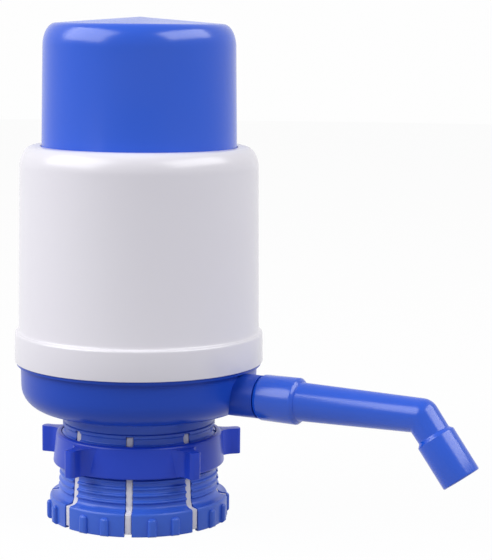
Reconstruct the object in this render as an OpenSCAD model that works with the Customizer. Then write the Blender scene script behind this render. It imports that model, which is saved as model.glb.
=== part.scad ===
// Hand pump for a water jug. A split collet and a wing ring grip the jug's neck.
// The press cap squeezes a bellows, which pumps air into the jug, and the water
// rises through a dip tube, the base and the swivelling spout.
// Millimetres, +Z up along the pump's axis, +X along the spout, z = 0 under the foot.

/* [Jug neck and collet] */
// Outer diameter of the jug's neck
neck_d = 55; // [52:0.5:57]
// Clearance round the jug's neck, on the radius
neck_gap = 0.25; // [0.1:0.05:0.4]
// Wall of the soft sleeve between the neck and the collet
seal_wall = 1.25; // [1:0.05:1.6]
// Wall of the collet's fingers at the root of the thread
collet_wall = 1.4; // [1.2:0.1:2]
// Height of the thread ridges
thread_h = 0.8; // [0.5:0.05:1]
// Distance from one thread ridge to the next
thread_pitch = 2.8; // [2.6:0.1:3.4]
// Taper of the threaded part, in degrees per side
thread_taper = 3.83; // [2:0.1:5]
// Length of the threaded part
thread_len = 28.8; // [25:0.1:32]
// Height of the collet's foot
foot_h = 9.5; // [8:0.5:12]
// Reach of the foot beyond the thread
foot_out = 3.5; // [3:0.1:5]
// Height of the flare between the foot and the thread
flare_h = 2.1; // [1.5:0.1:6]
// Number of fingers
fingers = 8; // [6:1:10]
// Width of the slots between the fingers
slot_w = 3; // [2:0.1:4]
// Direction of the first slot, in degrees from the spout
slot_turn = 24.5; // [0:0.5:45]
// Gap between a slot's side and the rib of the soft sleeve that fills it
rib_gap = 0.15; // [0.1:0.05:0.3]
// Reach of the grip lugs beyond the foot
lug_out = 1.4; // [0.8:0.1:2]
// Height of the grip lugs
lug_h = 7.5; // [5:0.5:7.5]
// Width of a grip lug
lug_w = 3.5; // [2.5:0.1:4]
// Angle from a finger's middle to each of its two lugs
lug_turn = 7.5; // [6:0.5:9]
// Height of the smooth collar above the thread
collar_h = 5.1; // [4:0.1:7]
// Thickness of the plate that closes the collet
collet_plate_t = 2.5; // [2:0.1:3.5]
// Thickness of the gasket on the jug's rim
mouth_gasket_t = 2.5; // [2:0.1:3]

/* [Wing ring] */
// Height of the ring above the foot
ring_rise = 13.4; // [8:0.1:14]
// Height of the ring
ring_h = 13; // [10:0.5:14]
// Radius of the ring's outer top edge
ring_edge = 1.4; // [0.6:0.1:1.6]
// Wall of the ring at its top
ring_wall = 2.2; // [1.8:0.1:4]
// Outer taper of the ring, in degrees
ring_draft = 4.9; // [0:0.1:8]
// Number of wings
wings = 5; // [3:1:6]
// Reach of the wings beyond the ring's top edge
wing_out = 9.4; // [5:0.1:11]
// Thickness of a wing
wing_t = 4.8; // [3:0.1:6]
// Radius of the wings' upright edges
wing_round = 1.2; // [0.6:0.1:1.4]
// Radius of a wing's outer top corner
wing_corner = 1.3; // [1:0.1:4]
// Radius of the hollow at each wing's root
wing_fillet = 3; // [1:0.1:3.2]
// Direction of the first wing, in degrees from the spout
wing_turn = -27; // [-72:1:72]

/* [Base] */
// Distance from the housing's wall in to the bowl's, on the radius
bowl_inset = 0.9; // [0.7:0.1:1.8]
// Wall of the bowl
bowl_wall = 2; // [1.6:0.1:2.4]
// Thickness of the bowl's floor
floor_t = 2.5; // [2:0.1:3]
// Width of the bowl's rounded lower corner
bowl_corner_w = 11.2; // [9:0.1:12]
// Height of the bowl's rounded lower corner
bowl_corner_h = 10.25; // [8:0.05:11]
// Height of the bowl from its underside to its rim
bowl_h = 18.9; // [18:0.1:22]
// Thickness of the rim that the housing stands on
rim_t = 1.2; // [1:0.1:2]
// Height of the collar inside the housing
upstand_h = 9; // [8:0.5:10]
// Radius of the boss that takes the dip tube
column_r = 8; // [7.5:0.1:8.2]
// Outer diameter of the dip tube
dip_d = 9; // [8:0.1:10]
// Depth of the dip tube's socket
dip_depth = 11; // [8:0.5:11]
// Reach of the dip tube's boss below the collet's plate
column_drop = 2.4; // [1:0.2:2.4]
// Radius of the water channel
channel_r = 3.5; // [2.5:0.1:3.8]
// Wall round the water channel
channel_wall = 2; // [1.5:0.1:2.2]
// Height of the spout's axis above the bowl's underside
spout_rise = 10; // [9.5:0.1:11]

/* [Housing] */
// Outer radius of the housing just above its band
body_r = 49.3; // [48.8:0.1:50.5]
// Wall of the housing
body_wall = 2; // [1.6:0.1:2.2]
// Taper of the housing, in degrees per side
body_draft = 0.67; // [0:0.01:1]
// Height of the housing
body_h = 88; // [84:0.5:100]
// Height of the band at its foot
band_h = 12.8; // [11.5:0.1:16]
// Step from the housing out to the band
band_step = 1.7; // [1.5:0.1:2.5]
// Width of the rounded shoulder
shoulder_w = 5.5; // [4:0.1:6]
// Height of the rounded shoulder
shoulder_h = 8.6; // [6:0.1:10]

/* [Press cap] */
// Distance from the housing's wall in to the cap's, on the radius
cap_inset = 10.3; // [9.8:0.1:12]
// Wall of the cap
cap_wall = 2; // [1.6:0.1:2.4]
// Taper of the cap, in degrees per side
cap_draft = 0.85; // [0:0.05:1]
// Height of the cap's straight wall above the housing
cap_rise = 43; // [42.5:0.5:50]
// Width of the cap's rounded edge
cap_edge_w = 4.9; // [3:0.1:6]
// Height of the cap's rounded edge
cap_edge_h = 6.3; // [5:0.1:8]
// Rise of the cap's shallow crown
crown_h = 2.6; // [1:0.1:4]
// Length of the guide skirt that runs in the housing
skirt_h = 10; // [8:0.5:14]
// Clearance between the cap and the housing's opening
lip_gap = 0.4; // [0.3:0.05:0.8]
// Clearance between the guide skirt and the housing
guide_gap = 0.4; // [0.3:0.05:0.6]

/* [Pump works] */
// Travel of the cap
stroke = 42; // [30:1:42]
// Clearance between the bellows and the cap
bellows_gap = 2; // [1:0.1:3]
// Depth of a fold of the bellows
fold_depth = 8; // [5:0.5:9]
// Wall of the bellows
bellows_wall = 1; // [0.8:0.1:1.2]
// Number of folds
folds = 10; // [8:1:12]
// Thickness of the valve plate
plate_t = 2.5; // [2:0.1:3]
// Thickness of the inlet plate under the crown
inlet_t = 2.2; // [2:0.1:3]
// Thickness of the gasket under the valve plate
gasket_t = 1; // [0.8:0.1:1.5]
// Thickness of the ring that clamps the bellows
clamp_t = 2.2; // [1.8:0.1:3]
// Distance from the folds of the bellows in to the return spring
spring_inset = 6; // [6:0.5:9]
// Wire of the return spring
wire_d = 2; // [1.6:0.1:2.4]
// Number of turns of the return spring
turns = 9; // [7:1:11]
// Radius of the soft valve discs
valve_r = 9; // [8:0.1:10]
// Radius of the screws' shanks
screw_r = 1.5; // [1.2:0.1:1.7]

/* [Spout] */
// Length of the boss between the bowl and the spout
boss_len = 8.5; // [7:0.5:12]
// Radius of the nipple that the spout turns on
nipple_r = 6.9; // [6.5:0.1:7.2]
// Length of the nipple
nipple_len = 16; // [14:0.5:20]
// Running clearance of the spout on the nipple, on the radius
swivel_gap = 0.05; // [0.02:0.01:0.1]
// Wall of the spout's collar
collar_wall = 2.4; // [1.7:0.1:2.6]
// Thread of the sealing ring on the nipple
oring_d = 1.6; // [1.2:0.1:1.8]
// Radius of the spout's tube at the collar
tube_r = 7.7; // [7:0.1:7.8]
// Radius of the spout's tube at the bend
tube_end_r = 6.8; // [6.5:0.1:6.9]
// Distance from the collar to the bend
tube_len = 51.4; // [30:0.2:54]
// Bore of the spout, as a radius
spout_bore_r = 5; // [4:0.1:5.2]
// Angle of the nozzle below level
nozzle_drop = 53.5; // [35:0.5:70]
// Distance from the bend to the nozzle
elbow_len = 10; // [9:0.1:14]
// Outer radius of the nozzle
nozzle_r = 7.9; // [7.4:0.1:8.5]
// Length of the nozzle
nozzle_len = 18.4; // [12:0.1:20]
// Bore of the nozzle, as a radius
nozzle_bore_r = 6.1; // [5.5:0.1:6.3]

/* [Hidden] */

$fn = 96;
// Length by which a cutter runs past the face that it cuts
over = 1;
// Gap between fixed pieces that slip together
fit_gap = 0.25;
// Gap between flat faces of pieces that part in use
face_gap = 0.1;

// Radii that follow the housing's
bowl_r = body_r - bowl_inset;
cap_r = body_r - cap_inset;

// Radii from the jug's neck outwards
seal_ri = neck_d / 2 + neck_gap;
seal_ro = seal_ri + seal_wall;
collet_ri = seal_ro + fit_gap;
thread_top_r = collet_ri + collet_wall + thread_h;
collar_r = thread_top_r - 0.6;

// Heights of the collet
thread_z = foot_h + flare_h;
thread_top_z = thread_z + thread_len;
base_z = thread_top_z + collar_h;
collet_plate_z = base_z - collet_plate_t;
function crest_r(z) = thread_top_r + (thread_top_z - z) * tan(thread_taper);
function core_r(z) = crest_r(z) - thread_h;
foot_r = crest_r(thread_z) + foot_out;
// Half widths of a thread ridge at its root and at its crest
ridge_root = 0.75;
ridge_tip = 0.3;
ridge_count = floor((thread_len - 2 * ridge_root) / thread_pitch);
function ridge_z(i) = thread_z + 2 * ridge_root + i * thread_pitch;
ring_z = foot_h + ring_rise;
ring_top_z = ring_z + ring_h;
slot_top_z = thread_top_z - 0.8;
ring_gap = 0.3;
ring_top_r = crest_r(ring_top_z) + ring_gap + ring_wall;
ring_bottom_r = ring_top_r + ring_h * tan(ring_draft);
wing_r = ring_top_r + wing_out;

// Screws
head_r = screw_r + 1.4;
head_h = 2;
screw_fit = 0.05;
screw_boss_r = screw_r + 2.1;
collet_screw_len = 12;
plate_screw_len = 14;

// Centre of the collet's plate
column_gap = 0.3;
hub_r = column_r * 1.5;
air_hole_r = 1.5;
air_hole_at = (column_r + hub_r) / 2;
collet_screw_at = hub_r + screw_boss_r + 0.4;
gasket_ri = collet_screw_at + head_r + 0.6;

// Heights of the base
floor_z = base_z + floor_t;
spout_z = base_z + spout_rise;
channel_ro = channel_r + channel_wall;
column_top_z = spout_z + channel_ro + 0.5;
plate_z = column_top_z + 2.5;
plate_top_z = plate_z + plate_t;
rim_z = base_z + bowl_h;
body_z = rim_z + rim_t;
dip_z = collet_plate_z - column_drop;
dip_r = dip_d / 2;
riser_r = channel_r + 0.5;
riser_top_z = spout_z + channel_r + 0.4;

// Housing
band_r = body_r + band_step;
rim_r = band_r - 0.8;
upstand_ro = band_r - body_wall - fit_gap;
upstand_ri = upstand_ro - bowl_wall;
bead = 0.5;
bead_z = body_z + upstand_h * 0.61;
body_top_z = body_z + body_h;
shoulder_z = body_top_z - shoulder_h;
function body_r_at(z) = body_r - (z - body_z - band_h) * tan(body_draft);
shoulder_r = body_r_at(shoulder_z) - shoulder_w;

// Cap
cap_edge_z = body_top_z + cap_rise;
function cap_r_at(z) = cap_r + (cap_edge_z - z) * tan(cap_draft);
crown_z = cap_edge_z + cap_edge_h;
crown_r = cap_r - cap_edge_w;
cap_ri_top = cap_r - cap_wall;
lip_z = body_top_z - body_wall;
lip_r = cap_r_at(lip_z) + lip_gap;
stop_gap = 0.3;
brim_z = lip_z - stop_gap;
skirt_z = brim_z - skirt_h;
skirt_r = body_r_at(shoulder_z) - body_wall - guide_gap;

// Bellows and spring
bellows_r = cap_ri_top - bellows_gap;
bellows_ri = bellows_r - fold_depth;
spring_r = bellows_ri - spring_inset;
plate_screw_at = bellows_r + 1 + head_r + 0.6;
plate_r = plate_screw_at + screw_boss_r + 0.3;
flange_t = 1.2;
clamp_z = plate_top_z + flange_t;
seat_r = bellows_r - 1.6;
inlet_r = bellows_ri;
inlet_z = crown_z - cap_wall - 3.3;
bellows_top_z = inlet_z - face_gap;
spigot_ri = spring_r + 0.4;
spigot_ro = spigot_ri + 1.3;
spring_z = plate_top_z + face_gap;
spring_top_z = inlet_z - face_gap;
valve_hole_r = valve_r * 0.14;
valve_holes_at = valve_r * 0.61;
stem_r = valve_r / 5;

// Spout
boss_end = bowl_r + boss_len;
spout_x = boss_end + 0.3;
nipple_end = boss_end + nipple_len;
socket_r = nipple_r + swivel_gap;
collar_ro = socket_r + collar_wall;
boss_r = collar_ro - 0.7;
socket_end = nipple_end + 0.5;
collar_end = socket_end + 1.5;
bend_x = collar_end + tube_len;
elbow_r = tube_end_r - 0.1;
oring_x = boss_end + nipple_len * 0.28;
snap_x = nipple_end - nipple_len * 0.22;
snap_h = 0.45;

// Points of an elliptical arc about (cx, cz), from angle a0 to angle a1
function arc(cx, cz, rx, rz, a0, a1, n = 10) =
  [for (i = [0:n]) let (a = a0 + (a1 - a0) * i / n) [cx + rx * cos(a), cz + rz * sin(a)]];

// Places its children count times round the pump's axis
module around(count, first = 0) {
  for (i = [0:count - 1])
    rotate([0, 0, first + i * 360 / count])
      children();
}

// A ring from radius ri to ro, from height z0 to z1
module tube(ri, ro, z0, z1) {
  rotate_extrude()
    polygon([[ri, z0], [ro, z0], [ro, z1], [ri, z1]]);
}

// A round bar along +X from x0 to x1 at the spout's height
module bar_x(r, x0, x1) {
  translate([x0, 0, spout_z])
    rotate([0, 90, 0])
      cylinder(r = r, h = x1 - x0);
}

// A profile of [radius, x] points turned about the spout's axis
module turned_x(points) {
  translate([0, 0, spout_z])
    rotate([0, 90, 0])
      rotate_extrude()
        polygon(points);
}

// The base's outside, filled, from its underside to the top of the upstand
module bowl_outside() {
  top = body_z + upstand_h;
  rotate_extrude()
    polygon(concat(
      [[0, base_z]],
      arc(bowl_r - bowl_corner_w, base_z + bowl_corner_h, bowl_corner_w, bowl_corner_h, 270, 360),
      [
        [bowl_r + 0.2, rim_z], [rim_r, rim_z], [rim_r, body_z], [upstand_ro, body_z],
        [upstand_ro, bead_z - 1], [upstand_ro + bead, bead_z - 0.4], [upstand_ro + bead, bead_z],
        [upstand_ro, bead_z + 1.2], [upstand_ro, top - 0.6], [upstand_ro - 0.6, top], [0, top]
      ]
    ));
}

// The hollow of the base, open at the top
module bowl_inside() {
  top = body_z + upstand_h + over;
  rotate_extrude()
    polygon(concat(
      [[0, floor_z]],
      arc(
        bowl_r - bowl_corner_w, base_z + bowl_corner_h,
        bowl_corner_w - bowl_wall, bowl_corner_h - floor_t, 270, 360
      ),
      [[bowl_r - bowl_wall, rim_z], [upstand_ri, rim_z + 1], [upstand_ri, top], [0, top]]
    ));
}

// The nipple, with a groove for the sealing ring and a bead that holds the spout
module nipple() {
  groove_r = nipple_r - oring_d - 0.05;
  groove_w = oring_d + 0.4;
  turned_x([
    [0, boss_end - 2], [nipple_r, boss_end - 2],
    [nipple_r, oring_x - groove_w / 2], [groove_r, oring_x - groove_w / 2],
    [groove_r, oring_x + groove_w / 2], [nipple_r, oring_x + groove_w / 2],
    [nipple_r, snap_x - 0.8], [nipple_r + snap_h, snap_x - 0.3],
    [nipple_r + snap_h, snap_x + 0.3], [nipple_r, snap_x + 1.2],
    [nipple_r, nipple_end - 0.6], [nipple_r - 0.6, nipple_end], [0, nipple_end]
  ]);
}

module base() {
  color("royalblue")
    difference() {
      union() {
        difference() {
          union() {
            bowl_outside();
            bar_x(boss_r, bowl_r - bowl_corner_w - 3, boss_end);
          }
          bowl_inside();
        }
        nipple();
        translate([0, 0, collet_plate_z])
          cylinder(r = hub_r, h = floor_z - collet_plate_z);
        translate([0, 0, dip_z])
          cylinder(r = column_r, h = column_top_z - dip_z);
        bar_x(channel_ro, 0, bowl_r - 0.5);
        translate([0, -1.25, floor_z - 0.5])
          cube([bowl_r - bowl_corner_w + 2, 2.5, spout_rise - floor_t]);
        tube(seat_r - 2, seat_r, floor_z - 0.5, plate_z - gasket_t);
        around(4, 45) {
          translate([collet_screw_at, 0, floor_z - 0.5])
            cylinder(r = screw_boss_r, h = collet_screw_len - floor_t + 1.5);
          translate([plate_screw_at, 0, floor_z - 0.5])
            cylinder(r = screw_boss_r, h = plate_z - floor_z + 0.5);
        }
      }
      translate([0, 0, dip_z - over])
        cylinder(r = dip_r, h = dip_depth + over);
      translate([0, 0, dip_z])
        cylinder(r = riser_r, h = riser_top_z - dip_z);
      bar_x(channel_r, 0, nipple_end + over);
      around(4, 45) {
        translate([air_hole_at, 0, collet_plate_z - over])
          cylinder(r = air_hole_r, h = floor_z - collet_plate_z + 2 * over);
        translate([collet_screw_at, 0, base_z - over])
          cylinder(r = screw_r + screw_fit, h = collet_screw_len - collet_plate_t + 0.5 + over);
        translate([plate_screw_at, 0, plate_z - plate_screw_len + plate_t + flange_t + clamp_t - 0.5])
          cylinder(r = screw_r + screw_fit, h = plate_screw_len);
      }
    }
}

module housing() {
  groove_r = upstand_ro + bead + fit_gap;
  band_ri = band_r - body_wall;
  color("ghostwhite")
    rotate_extrude()
      polygon(concat(
        [
          [band_ri, body_z], [band_r, body_z], [band_r - 0.15, body_z + band_h - 1.6],
          [band_r - 0.7, body_z + band_h - 0.4], [body_r + 0.2, body_z + band_h], [body_r, body_z + band_h + 1]
        ],
        arc(shoulder_r, shoulder_z, shoulder_w, shoulder_h, 0, 90),
        [[lip_r + 0.6, body_top_z], [lip_r, body_top_z - 0.6], [lip_r, lip_z]],
        arc(shoulder_r, shoulder_z, shoulder_w - body_wall, shoulder_h - body_wall, 90, 0),
        [
          [body_r - body_wall, body_z + band_h + 1], [body_r - body_wall, body_z + upstand_h + 2.2],
          [band_ri, body_z + upstand_h + 0.6],
          [band_ri, bead_z + 1.5], [groove_r, bead_z + 0.4], [groove_r, bead_z - 0.8], [band_ri, bead_z - 1.4]
        ]
      ));
}

module collet() {
  lug_r = foot_r + lug_out;
  // A smooth land ends the fingers, above the last ridge
  land_z = max(thread_top_z - 2, ridge_z(ridge_count - 1) + ridge_root + 0.2);
  color("royalblue")
    difference() {
      union() {
        rotate_extrude()
          polygon(concat(
            [[collet_ri, 0], [foot_r, 0], [foot_r, foot_h - 0.8], [foot_r - 0.4, foot_h]],
            arc(foot_r - 0.4, thread_z, foot_r - 0.4 - core_r(thread_z), flare_h, 270, 180, 5),
            [for (i = [0:ridge_count - 1], p = [
              [core_r(ridge_z(i) - ridge_root), ridge_z(i) - ridge_root],
              [crest_r(ridge_z(i) - ridge_tip), ridge_z(i) - ridge_tip],
              [crest_r(ridge_z(i) + ridge_tip), ridge_z(i) + ridge_tip],
              [core_r(ridge_z(i) + ridge_root), ridge_z(i) + ridge_root]
            ]) p],
            [
              [core_r(land_z), land_z], [thread_top_r, land_z + 0.4], [thread_top_r, thread_top_z - 0.4],
              [collar_r, thread_top_z], [collar_r, base_z],
              [hub_r + column_gap, base_z], [hub_r + column_gap, collet_plate_z],
              [collet_ri, collet_plate_z]
            ]
          ));
        for (i = [0:fingers - 1], side = [-1, 1])
          rotate([90, 0, slot_turn + (i + 0.5) * 360 / fingers + side * lug_turn])
            linear_extrude(height = lug_w, center = true)
              polygon([
                [foot_r - 1.5, 0], [lug_r, 0], [lug_r, lug_h - 1], [lug_r - 0.7, lug_h], [foot_r - 1.5, lug_h]
              ]);
      }
      around(fingers, slot_turn)
        translate([collet_ri - over, -slot_w / 2, -over])
          cube([lug_r, slot_w, slot_top_z + over]);
      tube(collet_ri + 2, foot_r - 2, -over, foot_h - 2);
      around(4, 45)
        translate([collet_screw_at, 0, collet_plate_z - over])
          cylinder(r = screw_r + 0.15, h = collet_plate_t + 2 * over);
    }
}

// The soft sleeve round the jug's neck, with ribs that fill the slots between the fingers
module neck_seal() {
  rib_ri = seal_ri + seal_wall / 2;
  rib_top = slot_top_z - 0.3;
  color("whitesmoke")
    union() {
      tube(seal_ri, seal_ro, 0, collet_plate_z - mouth_gasket_t - 0.1);
      around(fingers, slot_turn)
        rotate([90, 0, 0])
          linear_extrude(height = slot_w - 2 * rib_gap, center = true)
            polygon([
              [rib_ri, 1], [foot_r - 0.5, 1], [foot_r - 0.5, foot_h - 0.4],
              [core_r(thread_z) + 0.6, foot_h], [core_r(thread_z) - 0.1, thread_z],
              [core_r(rib_top) - 0.1, rib_top], [rib_ri, rib_top]
            ]);
    }
}

module mouth_gasket() {
  color("whitesmoke")
    tube(gasket_ri, seal_ro, collet_plate_z - mouth_gasket_t, collet_plate_z);
}

// A pan-head screw whose head sits under z = 0, with its shank up from there
module screw(length) {
  translate([0, 0, -head_h])
    cylinder(r = head_r, h = head_h);
  cylinder(r = screw_r, h = length);
}

module collet_screws() {
  color("silver")
    around(4, 45)
      translate([collet_screw_at, 0, collet_plate_z])
        screw(collet_screw_len);
}

// A wing, with its outer top corner rounded and a hollow on each side of its root
module wing() {
  // The wing starts inside the ring's wall, and the hollows cut a little into both.
  // The plan runs a little past the tip, where the side profile ends it.
  bite = 0.08;
  low = 0.7;
  high = ring_h - ring_edge - 0.1;
  tip = wing_r + 0.2 - wing_round;
  side_y = wing_t / 2 - wing_round;
  reach = ring_top_r + wing_fillet - bite;
  hollow_y = wing_t / 2 + wing_fillet - bite;
  hollow_x = sqrt(pow(reach, 2) - pow(hollow_y, 2));
  root = (crest_r(ring_z) + ring_gap + 0.5) / reach;
  intersection() {
    translate([0, 0, -over])
      linear_extrude(height = ring_h + 2 * over)
        difference() {
          polygon(concat(
            [[root * hollow_x, -root * hollow_y], [hollow_x, -hollow_y], [hollow_x, -wing_t / 2]],
            arc(tip, -side_y, wing_round, wing_round, 270, 360, 4),
            arc(tip, side_y, wing_round, wing_round, 0, 90, 4),
            [[hollow_x, wing_t / 2], [hollow_x, hollow_y], [root * hollow_x, root * hollow_y]]
          ));
          for (side = [-1, 1])
            translate([hollow_x, side * hollow_y])
              circle(r = wing_fillet, $fn = 48);
        }
    rotate([90, 0, 0])
      linear_extrude(height = 4 * hollow_y, center = true)
        polygon(concat(
          [[ring_top_r - ring_wall - over, low], [wing_r - 0.6, low], [wing_r, low + 0.6]],
          arc(wing_r - wing_corner, high - wing_corner, wing_corner, wing_corner, 0, 90, 6),
          [[ring_top_r - ring_wall - over, high]]
        ));
  }
}

module clamp_ring() {
  // Ridges of the ring's own thread lie half a pitch between the collet's
  inner = [for (i = [ridge_count - 1:-1:0])
    let (z = ridge_z(i) + thread_pitch / 2)
    if (z > ring_z + 1.2 && z < ring_top_z - 1.2) z];
  color("mediumblue")
    union() {
      rotate_extrude()
        polygon(concat(
          [
            [crest_r(ring_z) + ring_gap, ring_z], [ring_bottom_r - 0.4, ring_z], [ring_bottom_r, ring_z + 0.4]
          ],
          arc(ring_top_r - ring_edge, ring_top_z - ring_edge, ring_edge, ring_edge, 0, 90, 4),
          [[crest_r(ring_top_z) + ring_gap, ring_top_z]],
          [for (z = inner, p = [
            [crest_r(z + 0.55) + ring_gap, z + 0.55], [core_r(z + 0.25) + 0.35, z + 0.25],
            [core_r(z - 0.25) + 0.35, z - 0.25], [crest_r(z - 0.55) + ring_gap, z - 0.55]
          ]) p]
        ));
      around(wings, wing_turn)
        translate([0, 0, ring_z])
          wing();
    }
}

// Holes round the stem of a valve, through a plate from z to z + t
module valve_holes(z, t) {
  translate([0, 0, z - over]) {
    cylinder(r = stem_r + 0.1, h = t + 2 * over);
    around(6)
      translate([valve_holes_at, 0, 0])
        cylinder(r = valve_hole_r, h = t + 2 * over);
  }
}

// A soft valve: a thin disc under a plate from z to z + t, held by a knob above it
module umbrella_valve(z, t) {
  disc_t = valve_r * 0.18;
  rotate_extrude()
    polygon([
      [0, z - disc_t], [1.5 * disc_t, z - disc_t], [0.93 * valve_r, z - 0.34 * disc_t], [valve_r, z - face_gap],
      [stem_r, z - face_gap], [stem_r, z + t + face_gap], [1.4 * stem_r, z + t + face_gap],
      [1.3 * stem_r, z + t + 0.45 * disc_t], [0.6 * stem_r, z + t + disc_t], [0, z + t + disc_t]
    ]);
}

module valve_plate() {
  color("gainsboro")
    difference() {
      union() {
        translate([0, 0, plate_z])
          cylinder(r = plate_r, h = plate_t);
        tube(spring_r - wire_d - 1.7, spring_r - wire_d - 0.4, plate_top_z - 0.5, plate_top_z + 2.5);
      }
      valve_holes(plate_z, plate_t);
      around(4, 45)
        translate([plate_screw_at, 0, plate_z - over])
          cylinder(r = screw_r + 0.15, h = plate_t + 2 * over);
    }
}

module plate_gasket() {
  color("dimgray")
    tube(seat_r - 2.4, seat_r + 0.4, plate_z - gasket_t, plate_z);
}

module plate_screws() {
  color("silver")
    around(4, 45)
      translate([plate_screw_at, 0, clamp_z + clamp_t])
        mirror([0, 0, 1])
          screw(plate_screw_len);
}

module outlet_valve() {
  color("dimgray")
    umbrella_valve(plate_z, plate_t);
}

module bellows() {
  fold_z = clamp_z + 0.6;
  top = bellows_top_z - flange_t;
  pitch = (top - fold_z) / folds;
  w = bellows_wall;
  // Outer and inner walls zigzag together, one wall apart
  outer = [for (i = [0:folds - 1], p = [
    [bellows_ri + w, fold_z + (i + 0.02) * pitch], [bellows_r, fold_z + (i + 0.42) * pitch],
    [bellows_r, fold_z + (i + 0.58) * pitch], [bellows_ri + w, fold_z + (i + 0.98) * pitch]
  ]) p];
  inner = [for (i = [folds - 1:-1:0], p = [
    [bellows_ri, fold_z + (i + 0.98) * pitch], [bellows_r - w, fold_z + (i + 0.58) * pitch],
    [bellows_r - w, fold_z + (i + 0.42) * pitch], [bellows_ri, fold_z + (i + 0.02) * pitch]
  ]) p];
  color("lightgray")
    difference() {
      rotate_extrude()
        polygon(concat(
          [
            [bellows_ri, plate_top_z], [plate_r - 0.5, plate_top_z], [plate_r - 0.5, clamp_z],
            [bellows_ri + w, clamp_z]
          ],
          outer,
          [
            [bellows_ri + w, bellows_top_z], [spigot_ro + 0.15, bellows_top_z],
            [spigot_ro + 0.15, top], [bellows_ri, top]
          ],
          inner
        ));
      around(4, 45)
        translate([plate_screw_at, 0, plate_top_z - over])
          cylinder(r = screw_r + 0.15, h = flange_t + 2 * over);
    }
}

module bellows_clamp() {
  color("gainsboro")
    difference() {
      tube(bellows_r + 0.4, plate_r - 0.5, clamp_z, clamp_z + clamp_t);
      around(4, 45)
        translate([plate_screw_at, 0, clamp_z - over])
          cylinder(r = screw_r + 0.15, h = clamp_t + 2 * over);
    }
}

// The spring's wire is swept along a coil whose first and last turns lie closed
spring_steps = 20;
spring_sides = 8;
coil_r = spring_r - wire_d / 2;
closed_pitch = wire_d + 0.5;
coil_h = spring_top_z - spring_z - wire_d;
open_pitch = (coil_h - 2 * closed_pitch) / (turns - 2);
function coil_z(t) =
  t < 1 ? t * closed_pitch
  : t > turns - 1 ? coil_h - (turns - t) * closed_pitch
  : closed_pitch + (t - 1) * open_pitch;
spring_rings = [for (k = [0:turns * spring_steps]) let (t = k / spring_steps)
  [for (j = [0:spring_sides - 1]) let (a = 360 * t, b = 360 * j / spring_sides)
    [
      (coil_r + wire_d / 2 * cos(b)) * cos(a), (coil_r + wire_d / 2 * cos(b)) * sin(a),
      spring_z + wire_d / 2 + coil_z(t) + wire_d / 2 * sin(b)
    ]
  ]];
coil_gap = min([for (k = [0:(turns - 1) * spring_steps])
  coil_z(k / spring_steps + 1) - coil_z(k / spring_steps)]) - wire_d;
echo("least gap between the spring's turns", coil_gap);

module return_spring() {
  m = spring_sides;
  last = len(spring_rings) - 1;
  color("silver")
    polyhedron(
      points = [for (ring = spring_rings, p = ring) p],
      faces = concat(
        [[for (j = [0:m - 1]) j]],
        [for (k = [0:last - 1], j = [0:m - 1]) [k * m + j, (k + 1) * m + j, k * m + (j + 1) % m]],
        [for (k = [0:last - 1], j = [0:m - 1])
          [k * m + (j + 1) % m, (k + 1) * m + j, (k + 1) * m + (j + 1) % m]],
        [[for (j = [m - 1:-1:0]) last * m + j]]
      )
    );
}

module press_cap() {
  in_w = cap_edge_w - cap_wall;
  in_h = cap_edge_h - cap_wall;
  brim_w = shoulder_w - body_wall - guide_gap;
  brim_h = brim_z - shoulder_z;
  socket_ri = inlet_r + 0.15;
  air_slot_w = cap_wall * 2.5;
  color("royalblue")
    difference() {
      union() {
        rotate_extrude()
          polygon(concat(
            [[skirt_r - cap_wall, skirt_z], [skirt_r, skirt_z]],
            arc(shoulder_r, shoulder_z, skirt_r - shoulder_r, brim_h, 0, 90),
            [[cap_r_at(brim_z), brim_z]],
            arc(crown_r, cap_edge_z, cap_edge_w, cap_edge_h, 0, 90),
            [[0, crown_z + crown_h], [0, crown_z + crown_h - cap_wall]],
            arc(crown_r, cap_edge_z, in_w, in_h, 90, 0),
            [[cap_r_at(brim_z) - cap_wall, brim_z - cap_wall], [shoulder_r - 0.5, brim_z - cap_wall]],
            [[skirt_r - cap_wall, shoulder_z]]
          ));
        tube(socket_ri, socket_ri + 1.8, inlet_z + 0.3, crown_z - cap_wall + 0.6);
        tube(inlet_r - 3, inlet_r - 1.4, inlet_z + inlet_t, crown_z - cap_wall + 0.8);
      }
      around(2)
        translate([-socket_ri - cap_wall, -air_slot_w / 2, inlet_z + inlet_t - 0.01])
          cube([2 * (socket_ri + cap_wall), air_slot_w, 0.9]);
    }
}

module inlet_plate() {
  color("gainsboro")
    difference() {
      union() {
        translate([0, 0, inlet_z])
          cylinder(r = inlet_r, h = inlet_t);
        tube(spigot_ri, spigot_ro, inlet_z - flange_t - 2.4, inlet_z + 0.5);
      }
      valve_holes(inlet_z, inlet_t);
    }
}

module inlet_ring() {
  top = bellows_top_z - flange_t - face_gap;
  color("gainsboro")
    tube(spigot_ro + 0.1, bellows_ri - 0.4, top - 2, top);
}

module inlet_valve() {
  color("dimgray")
    umbrella_valve(inlet_z, inlet_t);
}

// The direction that the nozzle points in, with its origin on the bend
module at_nozzle() {
  translate([bend_x, 0, spout_z])
    rotate([0, 90 + nozzle_drop, 0])
      children();
}

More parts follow.
